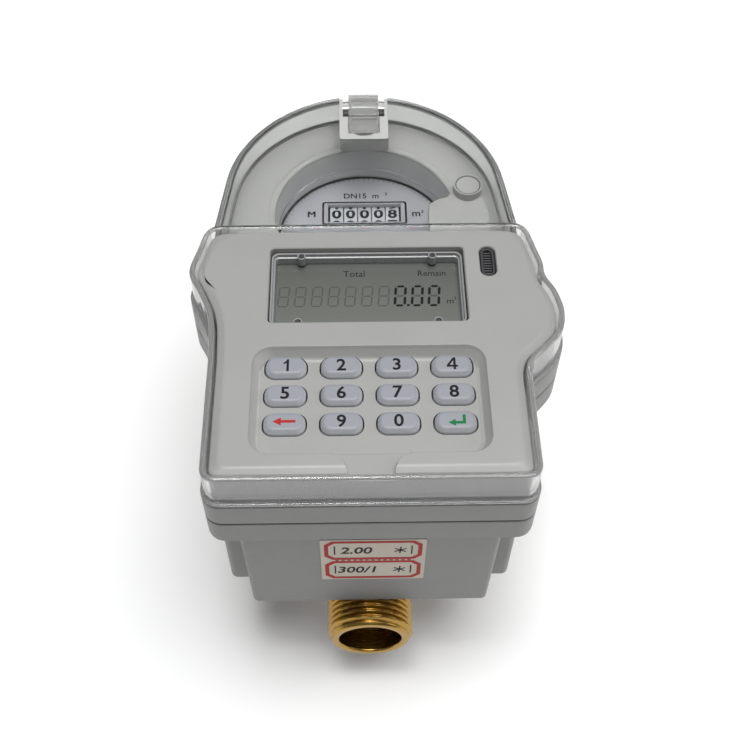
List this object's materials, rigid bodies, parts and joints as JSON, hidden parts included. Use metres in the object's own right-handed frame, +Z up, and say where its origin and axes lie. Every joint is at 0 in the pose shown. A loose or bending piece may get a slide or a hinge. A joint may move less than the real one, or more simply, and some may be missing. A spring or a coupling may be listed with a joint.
{
  "type": "prepaid water meter",
  "caption": "Keypad prepaid water meter: brass body with two threaded nozzles, shut-off valve, grey casing with display and keypad, and register under a latched clear cover.",
  "frame": {"origin": "centre of the flat base of the brass bowl, below the register", "axes": "+Z up through the register; the water pipe runs along Y, with the keypad end at -Y"},
  "size_m": [0.1072, 0.165, 0.1193],
  "materials": {
    "brass": "cast and machined",
    "white_plastic": "satin",
    "steel": "satin",
    "dark_plastic": "satin",
    "red_plastic": "satin",
    "rubber": "matte",
    "clear_plastic": "clear polished",
    "grey_plastic": "fine satin moulding",
    "label_film": "matte film",
    "display": "glossy",
    "circuit_board": "satin",
    "key_plastic": "satin"
  },
  "bodies": {
    "meter": {"meter_body": "brass", "inlet_strainer": "white_plastic", "valve_seat_front": "white_plastic", "valve_seat_back": "white_plastic", "valve_bonnet": "brass", "valve_actuator": "dark_plastic", "chamber_cup": "white_plastic", "chamber_lid": "white_plastic", "pressure_plate": "brass", "head_ring": "brass", "register_can": "dark_plastic", "dial_plate": "white_plastic", "roller_shaft": "steel", "glass_seal": "rubber", "register_glass": "clear_plastic", "lower_case": "grey_plastic", "case_gasket": "rubber", "upper_case": "grey_plastic", "case_screw_1": "steel", "case_screw_2": "steel", "case_screw_3": "steel", "case_screw_4": "steel", "battery": "dark_plastic", "front_label": "label_film", "fascia": "grey_plastic", "optical_port": "dark_plastic", "lcd_glass": "display", "lcd_bezel": "steel", "circuit_board": "circuit_board", "key_mat": "rubber", "sensor_housing": "grey_plastic", "screw_plug": "grey_plastic"},
    "clear_cover": {"clear_cover": "clear_plastic", "latch_pin": "steel"},
    "latch_lever": {"latch_lever": "clear_plastic"},
    "valve": {"valve_ball": "steel", "valve_stem": "steel"},
    "impeller": {"impeller": "white_plastic"},
    "key_1": {"key_1": "key_plastic"},
    "key_2": {"key_2": "key_plastic"},
    "key_3": {"key_3": "key_plastic"},
    "key_4": {"key_4": "key_plastic"},
    "key_5": {"key_5": "key_plastic"},
    "key_6": {"key_6": "key_plastic"},
    "key_7": {"key_7": "key_plastic"},
    "key_8": {"key_8": "key_plastic"},
    "key_cancel": {"key_cancel": "key_plastic"},
    "key_9": {"key_9": "key_plastic"},
    "key_0": {"key_0": "key_plastic"},
    "key_enter": {"key_enter": "key_plastic"},
    "digit_roller_1": {"digit_roller_1": "white_plastic"},
    "digit_roller_2": {"digit_roller_2": "white_plastic"},
    "digit_roller_3": {"digit_roller_3": "white_plastic"},
    "digit_roller_4": {"digit_roller_4": "white_plastic"},
    "digit_roller_5": {"digit_roller_5": "white_plastic"},
    "pointer_tenth": {"pointer_tenth": "red_plastic"},
    "pointer_hundredth": {"pointer_hundredth": "red_plastic"},
    "pointer_thousandth": {"pointer_thousandth": "red_plastic"},
    "flow_star": {"flow_star": "red_plastic"}
  },
  "joints": [
    {"name": "cover_lift", "type": "hinge", "parent": "meter", "child": "clear_cover", "pos_m": [0, -0.1109, 0.1069], "axis": [1, 0, 0], "range_deg": [0, 75]},
    {"name": "latch_press", "type": "hinge", "parent": "clear_cover", "child": "latch_lever", "pos_m": [0, 0.0387, 0.1076], "axis": [1, 0, 0], "range_deg": [0, 12], "stiffness_Nm_per_rad": 0.02},
    {"name": "valve_turn", "type": "hinge", "parent": "meter", "child": "valve", "pos_m": [0, -0.055, 0.03], "axis": [0, 0, 1], "range_deg": [0, 90]},
    {"name": "impeller_spin", "type": "hinge", "parent": "meter", "child": "impeller", "pos_m": [0, 0, 0.028], "axis": [0, 0, 1], "continuous": true},
    {"name": "key_1_press", "type": "slide", "parent": "meter", "child": "key_1", "axis": [0, 0, -1], "range_m": [0, 0.001], "stiffness_N_per_m": 300},
    {"name": "key_2_press", "type": "slide", "parent": "meter", "child": "key_2", "axis": [0, 0, -1], "range_m": [0, 0.001], "stiffness_N_per_m": 300},
    {"name": "key_3_press", "type": "slide", "parent": "meter", "child": "key_3", "axis": [0, 0, -1], "range_m": [0, 0.001], "stiffness_N_per_m": 300},
    {"name": "key_4_press", "type": "slide", "parent": "meter", "child": "key_4", "axis": [0, 0, -1], "range_m": [0, 0.001], "stiffness_N_per_m": 300},
    {"name": "key_5_press", "type": "slide", "parent": "meter", "child": "key_5", "axis": [0, 0, -1], "range_m": [0, 0.001], "stiffness_N_per_m": 300},
    {"name": "key_6_press", "type": "slide", "parent": "meter", "child": "key_6", "axis": [0, 0, -1], "range_m": [0, 0.001], "stiffness_N_per_m": 300},
    {"name": "key_7_press", "type": "slide", "parent": "meter", "child": "key_7", "axis": [0, 0, -1], "range_m": [0, 0.001], "stiffness_N_per_m": 300},
    {"name": "key_8_press", "type": "slide", "parent": "meter", "child": "key_8", "axis": [0, 0, -1], "range_m": [0, 0.001], "stiffness_N_per_m": 300},
    {"name": "key_cancel_press", "type": "slide", "parent": "meter", "child": "key_cancel", "axis": [0, 0, -1], "range_m": [0, 0.001], "stiffness_N_per_m": 300},
    {"name": "key_9_press", "type": "slide", "parent": "meter", "child": "key_9", "axis": [0, 0, -1], "range_m": [0, 0.001], "stiffness_N_per_m": 300},
    {"name": "key_0_press", "type": "slide", "parent": "meter", "child": "key_0", "axis": [0, 0, -1], "range_m": [0, 0.001], "stiffness_N_per_m": 300},
    {"name": "key_enter_press", "type": "slide", "parent": "meter", "child": "key_enter", "axis": [0, 0, -1], "range_m": [0, 0.001], "stiffness_N_per_m": 300},
    {"name": "digit_roller_1_turn", "type": "hinge", "parent": "meter", "child": "digit_roller_1", "pos_m": [-0.0094, 0.012, 0.0773], "axis": [1, 0, 0], "continuous": true},
    {"name": "digit_roller_2_turn", "type": "hinge", "parent": "meter", "child": "digit_roller_2", "pos_m": [-0.0047, 0.012, 0.0773], "axis": [1, 0, 0], "continuous": true},
    {"name": "digit_roller_3_turn", "type": "hinge", "parent": "meter", "child": "digit_roller_3", "pos_m": [0, 0.012, 0.0773], "axis": [1, 0, 0], "continuous": true},
    {"name": "digit_roller_4_turn", "type": "hinge", "parent": "meter", "child": "digit_roller_4", "pos_m": [0.0047, 0.012, 0.0773], "axis": [1, 0, 0], "continuous": true},
    {"name": "digit_roller_5_turn", "type": "hinge", "parent": "meter", "child": "digit_roller_5", "pos_m": [0.0094, 0.012, 0.0773], "axis": [1, 0, 0], "continuous": true},
    {"name": "pointer_tenth_turn", "type": "hinge", "parent": "meter", "child": "pointer_tenth", "pos_m": [0.0155, -0.004, 0.0855], "axis": [0, 0, 1], "continuous": true},
    {"name": "pointer_hundredth_turn", "type": "hinge", "parent": "meter", "child": "pointer_hundredth", "pos_m": [0, -0.0175, 0.0855], "axis": [0, 0, 1], "continuous": true},
    {"name": "pointer_thousandth_turn", "type": "hinge", "parent": "meter", "child": "pointer_thousandth", "pos_m": [-0.0155, -0.004, 0.0855], "axis": [0, 0, 1], "continuous": true},
    {"name": "flow_star_turn", "type": "hinge", "parent": "meter", "child": "flow_star", "pos_m": [0, -0.002, 0.0855], "axis": [0, 0, 1], "continuous": true}
  ],
  "couplings": [
    {"joint": "pointer_tenth_turn", "follows": "impeller_spin", "ratio": -0.0001},
    {"joint": "pointer_hundredth_turn", "follows": "impeller_spin", "ratio": -0.001},
    {"joint": "pointer_thousandth_turn", "follows": "impeller_spin", "ratio": -0.01},
    {"joint": "flow_star_turn", "follows": "impeller_spin", "ratio": -0.125}
  ]
}
